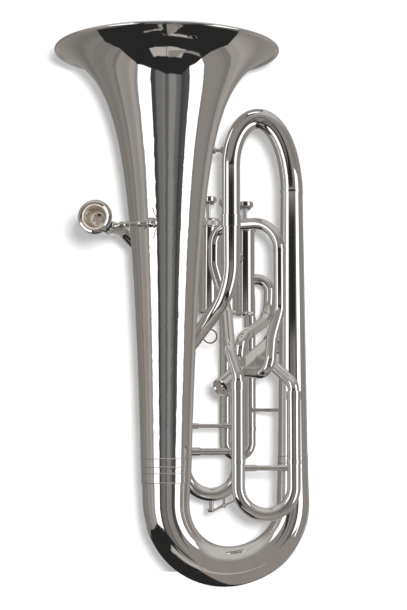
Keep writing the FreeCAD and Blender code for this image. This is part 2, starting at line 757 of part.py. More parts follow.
def first_slide():
    left = V(FIRST_LEFT, FIRST_PLANE, FIRST_SLEEVE_END)
    right = V(FIRST_RIGHT, FIRST_PLANE, FIRST_SLEEVE_END)
    length = FIRST_SLEEVE_TOP - FIRST_SLEEVE_END
    feeds = [clear_of_valve(pipe(route, LOOP, LOOP_WALL), 1) for route in first_feed_routes()]
    sleeves = [sleeve(end, DOWN, length, SMALL_SLEEVE, LOOP) for end in (left, right)]
    keep("first_slide_sleeves", *sleeves, *feeds)
    stub = FIRST_SLEEVE_END - FIRST_BEND
    keep("first_slide_crook", crook(left, right, DOWN, stub, FIRST_ENGAGED, SMALL_SLEEVE, SMALL_CROOK))


def second_slide():
    sleeves = []
    ends = []
    for height in (372, 398):
        start = port(2, height)
        end = start + SECOND_PULL * SECOND_SLEEVE_END
        feed_end = start + SECOND_PULL * (SECOND_SLEEVE_START + COLLAR_REACH)
        length = SECOND_SLEEVE_END - SECOND_SLEEVE_START - COLLAR_REACH
        sleeves.append(sleeve(end, SECOND_PULL, length, SMALL_SLEEVE, LOOP))
        sleeves.append(clear_of_valve(straight_tube(start, feed_end, LOOP, LOOP_WALL), 2))
        ends.append(end)
    keep("second_slide_sleeves", *sleeves)
    stub = SECOND_BEND - SECOND_SLEEVE_END
    body = crook(ends[0], ends[1], SECOND_PULL, stub, SECOND_ENGAGED - COLLAR_REACH, SMALL_SLEEVE, SMALL_CROOK)
    keep("second_slide_crook", body)


# ---------------------------------------------------------------- valves

CASING_END = CASING_START + CASING_LENGTH
CAP_TOP = CASING_END + SEAT + TOP_CAP_PLATE
BUTTON_START = CAP_TOP + STROKE + HUB_LENGTH + SEAT
PISTON_TOP = CASING_END
PISTON_START = PISTON_TOP - PISTON_LENGTH
SPRING_BASE = CASING_START + SPIGOT


def valve_frames():
    """Number, base and axis of each valve."""
    for number in (1, 2, 3):
        yield number, valve_base(number), UP
    yield 4, FOURTH_VALVE, FOURTH_VALVE_AXIS


def casing(base, axis, ports):
    body = lathe([(CASING_BORE, CASING_START + SEAT), (CASING, CASING_START + SEAT),
                  (CASING, CASING_END), (CASING_BORE, CASING_END)], base, axis)
    for start, way, radius in ports:
        body = body.cut(post(start, start + way * 2 * CASING, radius))
    return largest(body)


def way_out(corners):
    """Direction in which a route leaves the valve at its last corner."""
    return (corners[-2] - corners[-1]).normalize()


def valve_ports():
    """Openings of each casing: point on the axis, direction and bore radius."""
    bore = LOOP - LOOP_WALL
    across = V(VALVE_STEP).normalize()
    first = [(route[0][-1], way_out(route[0]), bore) for route in first_feed_routes()]
    first.append((port(1, 411), way_out(leadpipe_route()[0]), LEADPIPE - LOOP_WALL))
    first.append((port(1, 372), across, bore))
    second = [(port(2, height), SECOND_PULL, bore) for height in (372, 398)]
    second += [(port(2, 372), across * -1, bore), (port(2, 410), across, bore)]
    third = [(route[0][-1], way_out(route[0]), bore) for route in third_feed_routes()]
    third += [(port(3, 410), across * -1, bore), (port(3, 383.3), way_out(crossover_route()[0][1::-1]) * -1, bore)]
    fourth = [(fourth_port(43), way_out(return_route()[0]), bore)]
    fourth += [(fourth_port(43), way_out(crossover_route()[0]), bore)]
    fourth += [(fourth_port(72), way_out(fourth_feed_route()[0]), bore)]
    fourth += [(fourth_port(37), way_out(main_feed_route()[0]), bore)]
    return {1: first, 2: second, 3: third, 4: fourth}


def knuckle(number, height):
    """Short tube between one casing and the next."""
    body = straight_tube(port(number, height), port(number + 1, height), LOOP, LOOP_WALL)
    body = clear_of_valve(body, number)
    return clear_of_valve(body, number + 1)


def top_cap(base, axis):
    """Knurled cap: a skirt round the casing and a plate with the stem hole."""
    low = CASING_END - TOP_CAP_SKIRT
    bore = CASING + SEAT
    hole = STEM + STEM_FIT
    profile = [(bore, low), (TOP_CAP - 0.6, low), (TOP_CAP, low + 0.6), (TOP_CAP, CAP_TOP - 3.0)]
    profile += [(TOP_CAP - 1.2, CAP_TOP - 1.2), (TOP_CAP - 3.0, CAP_TOP - 0.5), (hole + 2.0, CAP_TOP)]
    profile += [(hole, CAP_TOP), (hole, CASING_END + SEAT), (bore, CASING_END + SEAT)]
    return lathe(profile, base, axis)


def bottom_cap(base, axis):
    """Dished plug with a raised rim, a centre boss with a drain hole and a spigot in the casing."""
    floor = BOTTOM_CAP_DISH
    inner = CASING_BORE - SEAT
    profile = [(1.2, floor), (3.4, floor), (4.4, floor + 0.8), (BOTTOM_CAP - 2.6, floor + 0.3)]
    profile += [(BOTTOM_CAP - 1.8, 0.2), (BOTTOM_CAP - 0.8, 0), (BOTTOM_CAP, 0.8)]
    profile += [(BOTTOM_CAP, CASING_START), (inner, CASING_START), (inner, SPRING_BASE), (1.2, SPRING_BASE)]
    return lathe(profile, base, axis)


def piston(base, axis):
    """Piston with three cross passages, a spring recess below and its stem."""
    radius = CASING_BORE - PISTON_FIT
    roof = PISTON_START + PISTON_RECESS
    profile = [(0, roof), (radius - 1.5, roof), (radius - 1.5, PISTON_START), (radius, PISTON_START)]
    profile += [(radius, PISTON_TOP), (STEM, PISTON_TOP), (STEM, BUTTON_START + 3), (0, BUTTON_START + 3)]
    body = lathe(profile, ORIGIN, UP)
    for share, angle in ((0.35, 137.5), (0.56, 42.5), (0.77, 95.0)):
        middle = UP * (PISTON_START + PISTON_LENGTH * share)
        way = V(math.cos(math.radians(angle)), math.sin(math.radians(angle)), 0) * 2 * CASING
        body = body.cut(post(middle - way, middle + way, PASSAGE))
    body = largest(body)
    body.Placement = FreeCAD.Placement(base, FreeCAD.Rotation(UP, axis))
    return body


def button(base, axis):
    """Finger button with a shallow dish, its hub and the felt washer under it."""
    top = BUTTON_START + BUTTON_HEIGHT
    hole = STEM + SEAT
    low = BUTTON_START - HUB_LENGTH
    profile = [(hole, low), (HUB, low), (HUB, BUTTON_START), (BUTTON - 1.0, BUTTON_START)]
    profile += [(BUTTON, BUTTON_START + 1.0), (BUTTON, top - 1.2), (BUTTON - 1.2, top)]
    profile += [(BUTTON - 2.4, top), (BUTTON - 3.4, top - 0.8), (0, top - 1.0)]
    profile += [(0, BUTTON_START + 3 + SEAT), (hole, BUTTON_START + 3 + SEAT)]
    felt_profile = [(HUB + SEAT, low + SEAT), (FELT, low + SEAT)]
    felt_profile += [(FELT, BUTTON_START - SEAT), (HUB + SEAT, BUTTON_START - SEAT)]
    return lathe(profile, base, axis), lathe(felt_profile, base, axis)


def spring(base, axis):
    """Return spring between the bottom cap and the roof of the piston's recess."""
    low = SPRING_BASE + SPRING_WIRE / 2 + SEAT
    high = PISTON_START + PISTON_RECESS - SPRING_WIRE / 2 - SEAT
    height = high - low
    helix = Part.makeHelix(height / SPRING_TURNS, height, SPRING_RADIUS)
    half = SPRING_WIRE / 2
    corners = [V(SPRING_RADIUS + across * half, 0, up * half) for across, up in ((-1, -1), (1, -1), (1, 1), (-1, 1))]
    section = Part.makePolygon(corners + corners[:1])
    coil = Part.Wire(helix.Edges).makePipeShell([section], True, True)
    coil.translate(UP * low)
    coil.Placement = FreeCAD.Placement(base, FreeCAD.Rotation(UP, axis)).multiply(coil.Placement)
    return coil


def valves():
    openings = valve_ports()
    top_caps = []
    bottom_caps = []
    for number, base, axis in valve_frames():
        keep(f"valve{number}_casing", casing(base, axis, openings[number]))
        keep(f"valve{number}_piston", piston(base, axis))
        keep(f"valve{number}_button", *button(base, axis))
        keep(f"valve{number}_spring", spring(base, axis))
        top_caps.append(top_cap(base, axis))
        bottom_caps.append(bottom_cap(base, axis))
    keep("valve_top_caps", *top_caps)
    keep("valve_bottom_caps", *bottom_caps)
    keep("valve_knuckles", knuckle(1, 372), knuckle(2, 410))


# ---------------------------------------------------------------- valve tubing, mouthpiece and fittings

def fourth_loop():
    keep("fourth_loop_link", pipe(link_route(), LOOP, LOOP_WALL))
    keep("fourth_loop_crook", pipe(loop_crook_route(), LOOP, LOOP_WALL))
    keep("fourth_loop_return", clear_of_fourth(pipe(return_route(), LOOP, LOOP_WALL)))
    keep("fourth_slide_feed", clear_of_fourth(pipe(fourth_feed_route(), LOOP, LOOP_WALL)))
    tube = clear_of_valve(pipe(crossover_route(), LOOP, LOOP_WALL), 3)
    keep("crossover_tube", clear_of_fourth(tube))


def tube_ferrules():
    """Short rings over the joints of the loop tubes."""
    places = [(V(-19, 22, 418), UP), (V(61, -17, 409), UP)]
    places.append(spot_at(return_route(), 107))
    places += [spot_at(crossover_route(), 75), spot_at(crossover_route(), 140)]
    places.append((V(BRANCH_AXIS, 0, BRANCH_TOP), UP))
    radii = [LOOP] * (len(places) - 1) + [BRANCH_SMALL]
    rings = []
    for (centre, way), radius in zip(places, radii):
        rings.append(ring(centre, way, radius + SEAT, radius + SEAT + RING_RAISE, RING_LENGTH))
    keep("tube_ferrules", *rings)


def mouthpiece():
    outline = [(CUP_RADIUS + 0.2, 1.4), (CUP_RADIUS + 1.8, 0.3), (16.4, 0), (18.6, 0.9), (RIM_RADIUS, 3.0)]
    outline += [(RIM_RADIUS, 5.0), (18.6, 6.6), (16.9, 7.8), (15.6, 14.0), (13.6, 22.0), (10.0, 29.5)]
    outline += [(7.6, 34.0), (6.3, 39.0), (6.2, 44.0), (7.0, 46.5), (7.0, 49.0), (6.3, 51.0)]
    outline += [(SHANK + 0.5, 56.0), (SHANK, MOUTH_LENGTH)]
    bore = [(4.8, MOUTH_LENGTH), (THROAT, CUP_DEPTH + 16), (THROAT, CUP_DEPTH + 1), (4.0, CUP_DEPTH - 1)]
    bore += [(8.2, CUP_DEPTH - 6), (10.8, 17.0), (12.2, 9.0), (CUP_RADIUS, 3.4)]
    keep("mouthpiece", lathe(outline + bore, MOUTH_RIM, MOUTH_AXIS))


def receiver():
    """Tapered socket for the shank, with a beaded mouth, over the end of the leadpipe."""
    end = RECEIVER_LENGTH
    low = SHANK + 0.5 - 0.5 * (RECEIVER_START - 56) / (MOUTH_LENGTH - 56) + SEAT
    high = SHANK + SEAT
    tip = MOUTH_LENGTH - RECEIVER_START
    profile = [(low, 0), (RECEIVER + 1.6, 0), (RECEIVER + 2.0, 1.4), (RECEIVER + 1.6, 2.8), (RECEIVER, 3.4)]
    profile += [(RECEIVER, end - 3.4), (RECEIVER + 0.6, end - 3.0), (RECEIVER + 0.6, end)]
    profile += [(LEADPIPE + SEAT, end), (LEADPIPE + SEAT, tip + 1), (high, tip + 1), (high, tip)]
    keep("mouthpiece_receiver", lathe(profile, MOUTH_RIM + MOUTH_AXIS * RECEIVER_START, MOUTH_AXIS))


def receiver_brace():
    """Turned arm from the receiver to a pointed flange on the bell."""
    height = 439.5
    facing = V(-15.5, -43.8, 0).normalize()
    seat = V(BELL_AXIS, 0, height) + facing * bell_radius(height)
    ball = seat + facing * 7.0
    receiver_spot = MOUTH_RIM + MOUTH_AXIS * (MOUTH_LENGTH - 3)
    sheet = 1.3
    plate = bell_shell(SEAT, SEAT + sheet, height - 22, height + 22)
    side = facing.cross(UP)
    outline = []
    for across, up in ((0, 18.8), (2.2, 11.0), (6.7, 3.0), (6.7, -3.0), (2.2, -11.0), (0, -18.8),
                       (-2.2, -11.0), (-6.7, -3.0), (-6.7, 3.0), (-2.2, 11.0)):
        outline.append(seat - facing * 6 + side * across + UP * up)
    lens = Part.Face(Part.makePolygon(outline + outline[:1])).extrude(facing * 12)
    flange = largest(plate.common(lens))
    neck = post(seat + facing * (SEAT + 0.4), ball, 3.4)
    arm = (receiver_spot - ball).Length
    reach = arm - RECEIVER
    profile = [(0, -5.6), (3.4, -5.0), (5.6, -2.6), (6.4, 0), (5.6, 2.6), (3.8, 3.6), (4.4, 5.0), (4.4, 13.6)]
    profile += [(3.4, 15.4), (2.2, 17.4), (2.2, reach - 19), (3.6, reach - 18), (3.6, reach - 15), (2.2, reach - 14)]
    profile += [(3.4, reach - 11.5), (3.9, reach - 9), (3.4, reach - 6.5), (2.6, reach - 5), (4.6, reach)]
    profile += [(4.6, arm), (0, arm)]
    turned = lathe(profile, ball, receiver_spot - ball)
    turned = clear_of(turned, receiver_spot, MOUTH_AXIS, RECEIVER)
    bell_body = bell_shell(-6, SEAT, height - 40, height + 40)
    turned = largest(turned.cut(bell_body))
    keep("receiver_brace", largest(flange.multiFuse([neck, turned])))


def bell_top_brace():
    """Short stay between the bell and the top bow's left side."""
    height = 535.0
    turn = math.degrees(math.asin((height - TOP_BOW_LEG_TOP) / (TOP_BOW_APEX - TOP_BOW_LEG_TOP)))
    bow = top_bow_point(turn)
    bow_radius_here = top_bow_radius(turn / 180)
    axis_point = V(BELL_AXIS, 0, height)
    bell_here = bell_radius(height)
    foot = (4.2, 2.6)
    bar = brace(axis_point, bow, bell_here - 4, bow_radius_here, 2.2, (foot[0], foot[1] + 4), foot)
    bar = bar.cut(bell_shell(-10, SEAT, height - 30, height + 30))
    way = (top_bow_point(turn + 1) - top_bow_point(turn - 1)).normalize()
    keep("bell_top_brace", clear_of(largest(bar), bow, way, bow_radius_here))


def strap_ring():
    """Ring on a short post behind the left branch."""
    corners = left_branch_route()[0]
    along = (corners[2] - corners[1]).normalize()
    length = (corners[2] - corners[1]).Length
    spot = corners[1] + along * length * 0.693
    radius = 9.1
    outward = V(0.55, 0.48, -0.09)
    outward = (outward - along * outward.dot(along)).normalize()
    centre = spot + outward * (radius + STRAP_RIM + 0.5)
    hoop = ring(centre, BACK, STRAP_BORE, STRAP_RIM, STRAP_THICK)
    inward = V(-outward.x, 0, -outward.z).normalize()
    rim_spot = centre + inward * (STRAP_RIM - 0.6)
    foot = post(rim_spot, spot, 1.9)
    foot = clear_of(foot, spot, along, radius)
    bore = post(centre - BACK * STRAP_THICK * 3, centre + BACK * STRAP_THICK * 3, STRAP_BORE)
    keep("strap_ring", largest(hoop.fuse(foot).cut(bore)))
    return centre


def main_bore():
    keep("bell", bell())
    keep("bell_rim_bead", bell_rim_bead())
    keep("bell_ferrule", bell_ferrule())
    keep("bottom_bow", bottom_bow())
    keep("bow_guard", bow_guard())
    keep("branch_ferrule", branch_ferrule())
    keep("outer_branch", outer_branch())
    keep("top_bow", top_bow())
    keep("top_bow_ferrule", top_bow_ferrule())
    keep("left_branch", left_branch())


os.makedirs("parts", exist_ok=True)
main_bore()
main_slide()
water_key()
fourth_slide()
third_slide()
first_slide()
second_slide()
valves()
fourth_loop()
tube_ferrules()
keep("leadpipe", clear_of_valve(pipe(leadpipe_route(), LEADPIPE, LOOP_WALL), 1))
mouthpiece()
receiver()
receiver_brace()
bell_top_brace()
strap_ring()
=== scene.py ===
import math

import bpy
import numpy as np
from mathutils import Matrix, Vector


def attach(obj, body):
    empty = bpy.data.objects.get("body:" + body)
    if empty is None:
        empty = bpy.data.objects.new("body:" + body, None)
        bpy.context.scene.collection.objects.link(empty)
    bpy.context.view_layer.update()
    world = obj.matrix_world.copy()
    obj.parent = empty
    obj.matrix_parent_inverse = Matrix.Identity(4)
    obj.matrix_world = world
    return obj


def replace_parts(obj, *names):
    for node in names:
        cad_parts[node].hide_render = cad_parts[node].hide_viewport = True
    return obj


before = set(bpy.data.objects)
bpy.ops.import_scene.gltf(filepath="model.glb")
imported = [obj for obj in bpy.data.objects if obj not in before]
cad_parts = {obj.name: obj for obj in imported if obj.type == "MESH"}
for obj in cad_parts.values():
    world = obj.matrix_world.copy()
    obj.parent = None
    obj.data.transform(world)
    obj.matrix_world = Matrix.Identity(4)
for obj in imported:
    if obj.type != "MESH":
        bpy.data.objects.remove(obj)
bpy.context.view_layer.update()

MILLIMETRE = 0.001
WHITE = (1, 1, 1, 1)

# ---------------------------------------------------------------- materials in numbers
# Noises are (scale, detail, roughness) and are read at Object coordinates in metres.

# Silver plate
SILVER_CLEAN = (0.955, 0.945, 0.93, 1)
SILVER_DULL = (0.80, 0.765, 0.72, 1)
CLOUDS = (14.0, 4.0, 0.6)
SMEARS = (60.0, 5.0, 0.65)
HAIRS = (900.0, 2.0, 0.7)
WAVES = (9.0, 1.0, 0.4)
PATCH_EDGE = [(0.20, 0.0), (0.42, 1.0)]
SMEAR_ROUGHNESS = 0.05
HAIR_ROUGHNESS = 0.03
LEAST_DULL = 0.6
LEAST_ROUGHNESS = 0.012
WAVE_DISTANCE = 0.001
HAIR_DISTANCE = 0.0000025
HAIR_STRENGTH = 0.25

# Gold wash: the mouthpiece's rim centre and the way into its cup, then how far the wash reaches on the plate
MOUTH_RIM = Vector((-0.1563, -0.137, 0.4351))
MOUTH_AXIS = Vector((0.106, 0.994, 0.0)).normalized()
WASH_DEPTH = 0.010
WASH_CENTRE = MOUTH_RIM + MOUTH_AXIS * WASH_DEPTH
WASH_REACH = 0.0135
WASH_EDGE = [(0.80, 1.0), (1.0, 0.0)]
GOLD_WASH = (0.96, 0.82, 0.64, 1)
# Tones down the cup, as shares of GOLD_DEPTH: the gold's own colour with painted light in it. The pale rings are
# painted highlights; the dark rings, and the black into the throat, are painted shade.
GOLD_DEPTH = 0.040
GOLD_AND_PAINTED_LIGHT_TONES = [
    (0.0, (0.88, 0.76, 0.62, 1)), (0.045, (0.90, 0.78, 0.64, 1)), (0.060, (0.20, 0.15, 0.10, 1)),
    (0.090, (0.24, 0.18, 0.12, 1)), (0.105, (0.88, 0.76, 0.62, 1)), (0.16, (0.78, 0.66, 0.52, 1)),
    (0.22, (0.42, 0.34, 0.24, 1)), (0.42, (0.36, 0.29, 0.20, 1)), (0.55, (0.62, 0.52, 0.40, 1)),
    (0.66, (0.95, 0.86, 0.75, 1)), (0.72, (0.80, 0.68, 0.54, 1)), (0.78, (0.20, 0.15, 0.09, 1)),
    (1.0, (0.05, 0.04, 0.03, 1))]
GOLD_METAL = 0.45
GOLD_COAT = 0.5
GOLD_COAT_ROUGHNESS = 0.08
GOLD_GRAIN = (160.0, 3.0, 0.5)
GOLD_WORN = 0.86
GOLD_ROUGHNESS = [(GOLD_WORN, 0.18), (1.0, 0.28)]

# Felt
FELT_DARK = (0.035, 0.034, 0.036, 1)
FELT_LIGHT = (0.11, 0.105, 0.10, 1)
FELT_FIBRES = (2600.0, 5.0, 0.7)
FELT_ROUGHNESS = 0.95
FELT_SHEEN = 0.5
FELT_BUMP_DISTANCE = 0.0004
FELT_BUMP_STRENGTH = 0.8

# Spring wire
WIRE_MARKS = (1800.0, 3.0, 0.5)
WIRE_TONES = [(0.3, (0.42, 0.42, 0.43, 1)), (0.7, (0.62, 0.62, 0.62, 1))]
WIRE_ROUGHNESS = [(0.2, 0.22), (0.8, 0.38)]

# ---------------------------------------------------------------- pieces in numbers, millimetres

NEARLY_UPRIGHT = 0.9
# Foot and direction of each valve's axis
VALVES = [((-25.6, 44.0, 336.0), (0, 0, 1)), ((-1.6, 66.0, 336.0), (0, 0, 1)),
          ((22.4, 88.0, 336.0), (0, 0, 1)), ((-10.8, -8.0, 240.0), (0.605, 0.6, 0.52))]
FELT_INSIDE = 4.3
FELT_OUTSIDE = 7.75
FELT_LOW = 138.76
FELT_HIGH = 141.12
FELT_STEPS = 72
# Grips round the caps: radius, low end, high end and teeth. The fourth valve's bottom cap stays smooth.
TOP_GRIP = (14.0, 110.4, 117.4, 64)
LOW_GRIP = (12.6, 1.6, 4.6, 56)
LOW_GRIPS = 3
GRIP_LIFT = 0.10
GRIP_DEPTH = 0.32
GRIP_POINTS = 6
GRIP_SHARE = (0, 0, 0.10, 0.25, 0.75, 0.90, 1, 1)
GRIP_ENDS = (-0.25, 0.0, 0.75, 1, 1, 0.75, 0.0, -0.25)
# Coil at the water key
KEY_PIVOT = (-6.1, 42.0, 95.4)
COIL_AXIS = (0, 1, 0)
COIL_RADIUS = 2.75
COIL_HALF_LENGTH = 1.9
COIL_TURNS = 5
COIL_WIRE = 0.28
COIL_TAILS = ((-8.0, -2.1, -1.2), (6.5, 2.1, 4.6))
COIL_STEPS = 20
COIL_SIDES = 8
# The mouthpiece's inside: depth from the rim and radius
CUP_DEPTHS = (0.22, 0.75, 1.35, 1.9, 2.6, 3.2, 3.5, 4.6, 6.0, 9.0, 13.0, 17.0, 21.0, 25.0, 28.0, 30.0, 31.2,
              33.0, 40.0, 47.0)
CUP_RADII = (14.7, 13.75, 13.1, 12.85, 12.78, 12.4, 12.7, 12.62, 12.48, 12.05, 11.45, 10.65, 9.5, 8.05, 5.9,
             4.0, 3.45, 3.3, 3.3, 3.3)
LINING_GAP = 0.06
LINING_ROWS = 140
LINING_STEPS = 96
# Joint sleeves: where the axis stands in X, heights with the radius at each, and heights of the raised lines
BELL_SLEEVE = (-77.5, (125.8, 139.0, 143.0, 156.6), (30.5, 30.6, 31.0, 31.45), (126.6, 138.1, 145.8, 155.8))
BRANCH_SLEEVE = (77.5, (141.0, 150.0, 159.4), (18.7, 18.62, 18.4), (141.9, 150.2, 158.5))
LINE_RAISE = 0.32
LINE_HALF = 0.55
SLEEVE_END = 0.8
SLEEVE_ROWS = 260
SLEEVE_STEPS = 160
# What the metal mirrors. The flare and the bell's side stay clear of the rest, as in the photograph.
SEEN_IN_METAL = ("bell", "bell_rim_bead", "bottom_bow", "bell_ferrule", "branch_ferrule", "receiver_brace",
                 "bell_joint_sleeve", "branch_joint_sleeve")

# ---------------------------------------------------------------- studio in numbers, metres
# Bearings are in degrees round Z from the camera side, positive to the right. Rises are above the horizon.
# Bands are (low edge, high edge, softness), in degrees.

BELL_X = -0.0775
WARM_RED = 0.07
WARM_BLUE = 0.06
BLACK = (0.021, 0.021, 0.021, 1)
OVERHEAD = (0.50, 0.48, 0.46, 1)
AMBIENT = (0.42, 0.42, 0.42, 1)
FRONT_BEARINGS = (-40.0, 50.0, 1.5)
FRONT_RISES = (-90.0, 9.6, 0.5)
BLOCK_BEARINGS = (-24.0, 24.0, 2.0)
BLOCK_RISES = (4.5, 9.6, 0.5)
GROUND_RISES = (-90.0, -58.0, 0.8)
ZENITH_RISES = (42.0, 100.0, 14.0)


def grey(level, warmth=1.0):
    """A studio grey, a little warm as paper is."""
    return (level * (1 + WARM_RED * warmth), level, level * (1 - WARM_BLUE * warmth), 1)


# Round the object from behind over the left, the front at 0.5 and the right to behind again
WALL_TONES = [
    (0.00, grey(0.30)), (0.05, grey(0.25)), (0.09, grey(0.16)), (0.115, grey(0.21)), (0.145, grey(0.19)),
    (0.155, grey(0.18)), (0.175, grey(0.21)), (0.215, grey(0.22)), (0.228, grey(0.20)), (0.240, grey(0.32)),
    (0.256, grey(0.27)), (0.285, grey(0.26)), (0.300, grey(0.36)), (0.318, grey(0.34)), (0.330, grey(0.29)),
    (0.40, grey(0.24)), (0.60, grey(0.24)), (0.704, grey(0.17)), (0.716, grey(0.235)), (0.78, grey(0.24)),
    (0.826, grey(0.20)), (0.838, grey(0.17)), (0.846, grey(0.31)), (0.872, grey(0.31)), (0.884, grey(0.36)),
    (0.905, grey(0.30)), (0.93, grey(0.22)), (1.0, grey(0.30))]
# Thin shadow lines between the papers: bearing and how much light is left
WALL_LINES = [(-133.0, 0.75), (-118.0, 0.7), (-101.0, 0.30), (-91.0, 0.8), (-73.0, 0.7), (-60.0, 0.6),
              (77.0, 0.7), (99.0, 0.85), (115.0, 0.6)]
LINE_SPREAD = 1.1
# The darker camera side, on the same scale
FRONT_TONES = [
    (0.388, grey(0.05, 0)), (0.436, grey(0.052, 0)), (0.446, grey(0.145, 0.3)), (0.470, grey(0.155, 0.3)),
    (0.480, grey(0.18, 0.3)), (0.492, grey(0.19, 0.3)), (0.498, grey(0.10, 0)), (0.512, grey(0.115, 0)),
    (0.520, grey(0.24, 0.3)), (0.550, grey(0.24, 0.3)), (0.558, grey(0.15, 0)), (0.580, grey(0.115, 0)),
    (0.590, grey(0.05, 0)), (0.612, grey(0.08, 0))]

# Softboxes: bearing and width in degrees, seen from the bell
LEFT_STRIP = (-41.65, 25.3)
RIGHT_STRIP = (58.25, 26.5)
STRIP_LEVEL = 1.35
STRIP_REACH = 0.9
STRIP_LOW = -0.62
STRIP_HIGH = 0.70

# Black table under the horn. The grey paper on it lies right of a slanted edge, and is seen only from close by.
TABLE_HEIGHT = -0.2
TABLE = ((-0.08, -0.92), (0.40, -0.85), (0.45, -0.60), (0.563, -0.416), (0.55, 0.0), (0.56, 0.37), (0.35, 0.74),
         (-0.5, 0.74), (-0.69, 0.37), (-0.69, 0.0), (-0.73, -0.24), (-0.74, -0.43), (-0.484, -0.69))
PAPER_GREY = (0.262, 0.238, 0.222, 1)
PAPER_SIDE = -0.02
PAPER_SLANT = 0.35
PAPER_REACH = 0.72
# Grey paper that stands before the bow
BOW_PAPER = ((-0.05, -0.35, -0.2), (0.42, -0.20, -0.2), (0.42, -0.20, -0.05), (0.12, -0.296, -0.03),
             (0.06, -0.315, 0.10), (-0.05, -0.35, 0.10))
# Pale card in two halves, a little above the table
CARD = (0.44, 0.41, 0.39, 1)
CARD_DEPTH = (-0.454, -0.244)
CARD_HALVES = ((-0.31, -0.081), (-0.073, 0.195))
CARD_HEIGHT = TABLE_HEIGHT + 0.004

# Key lamp near the camera, for the shadow on the wall close behind
KEY_PLACE = (0.075, -1.9, 0.31)
KEY_TARGET = (0, 0, 0.33)
KEY_SIZE = 0.16
KEY_POWER = 34.0

# Floor and wall
FLOOR_HALF = 2.2
FLOOR_NEAR = -1.2
WALL_BACK = 0.155
WALL_TOP = 2.4
FLOOR_GLOW = 0.76
WALL_GLOW = 0.16
PAPER_WHITE = (0.8, 0.8, 0.8, 1)
PAPER_ROUGHNESS = 0.9

# Camera, fitted to the photograph's frame of 407 by 610. It looks up by its pitch, in degrees.
CAMERA_PLACE = (-0.0318, -1.741, 0.2193)
CAMERA_PITCH = 4.08
CAMERA_LENS = 83.5
CAMERA_SENSOR = 36
CAMERA_NEAR = 0.05


# ---------------------------------------------------------------- nodes

def feed(tree, socket, value):
    """Links the value where it is a socket, and sets it where it is a number, a colour or a direction."""
    if hasattr(value, "is_output"):
        tree.links.new(value, socket)
    else:
        socket.default_value = value


def object_place(tree):
    return tree.nodes.new("ShaderNodeTexCoord").outputs["Object"]


def math_node(tree, operation, first, second=0.0, clamp=False):
    node = tree.nodes.new("ShaderNodeMath")
    node.operation = operation
    node.use_clamp = clamp
    feed(tree, node.inputs[0], first)
    feed(tree, node.inputs[1], second)
    return node.outputs[0]


def vector_node(tree, operation, first, second):
    node = tree.nodes.new("ShaderNodeVectorMath")
    node.operation = operation
    feed(tree, node.inputs[0], first)
    feed(tree, node.inputs[1], second)
    return node


def noise(tree, place, settings):
    node = tree.nodes.new("ShaderNodeTexNoise")
    for socket, value in zip(("Scale", "Detail", "Roughness"), settings):
        node.inputs[socket].default_value = value
    feed(tree, node.inputs["Vector"], place)
    return node.outputs["Fac"]


def ramp(tree, value, stops, mode="LINEAR"):
    node = tree.nodes.new("ShaderNodeValToRGB")
    node.color_ramp.interpolation = mode
    elements = node.color_ramp.elements
    while len(elements) < len(stops):
        elements.new(0.5)
    for element, (place, colour) in zip(elements, stops):
        element.position = place
        if isinstance(colour, (int, float)):
            colour = (colour, colour, colour, 1)
        element.color = colour
    feed(tree, node.inputs["Fac"], value)
    return node.outputs["Color"]


def mix_colour(tree, share, first, second, blend="MIX"):
    node = tree.nodes.new("ShaderNodeMix")
    node.data_type = "RGBA"
    node.blend_type = blend
    for socket, value in zip((node.inputs[0], node.inputs[6], node.inputs[7]), (share, first, second)):
        feed(tree, socket, value)
    return node.outputs[2]


def bump(tree, height, distance, strength, below=None):
    """Normal of a height. It is laid over the normal below it, where one is given."""
    node = tree.nodes.new("ShaderNodeBump")
    feed(tree, node.inputs["Distance"], distance)
    feed(tree, node.inputs["Strength"], strength)
    feed(tree, node.inputs["Height"], height)
    if below is not None:
        feed(tree, node.inputs["Normal"], below)
    return node.outputs[0]


def inside(tree, value, low, high, soft):
    """1 between low and high, with edges soft wide."""
    shares = []
    for start, end in ((low - soft, low + soft), (high + soft, high - soft)):
        node = tree.nodes.new("ShaderNodeMapRange")
        node.interpolation_type = "SMOOTHSTEP"
        feed(tree, node.inputs["Value"], value)
        node.inputs["From Min"].default_value = start
        node.inputs["From Max"].default_value = end
        shares.append(node.outputs[0])
    return math_node(tree, "MULTIPLY", *shares)


# ---------------------------------------------------------------- materials

def new_surface(name, values):
    """A material with its tree and its shader's sockets. The values are the uniform ones among those."""
    material = bpy.data.materials.new(name)
    material.use_nodes = True
    shader = material.node_tree.nodes["Principled BSDF"]
    for socket, value in values.items():
        shader.inputs[socket].default_value = value
    return material, material.node_tree, shader.inputs


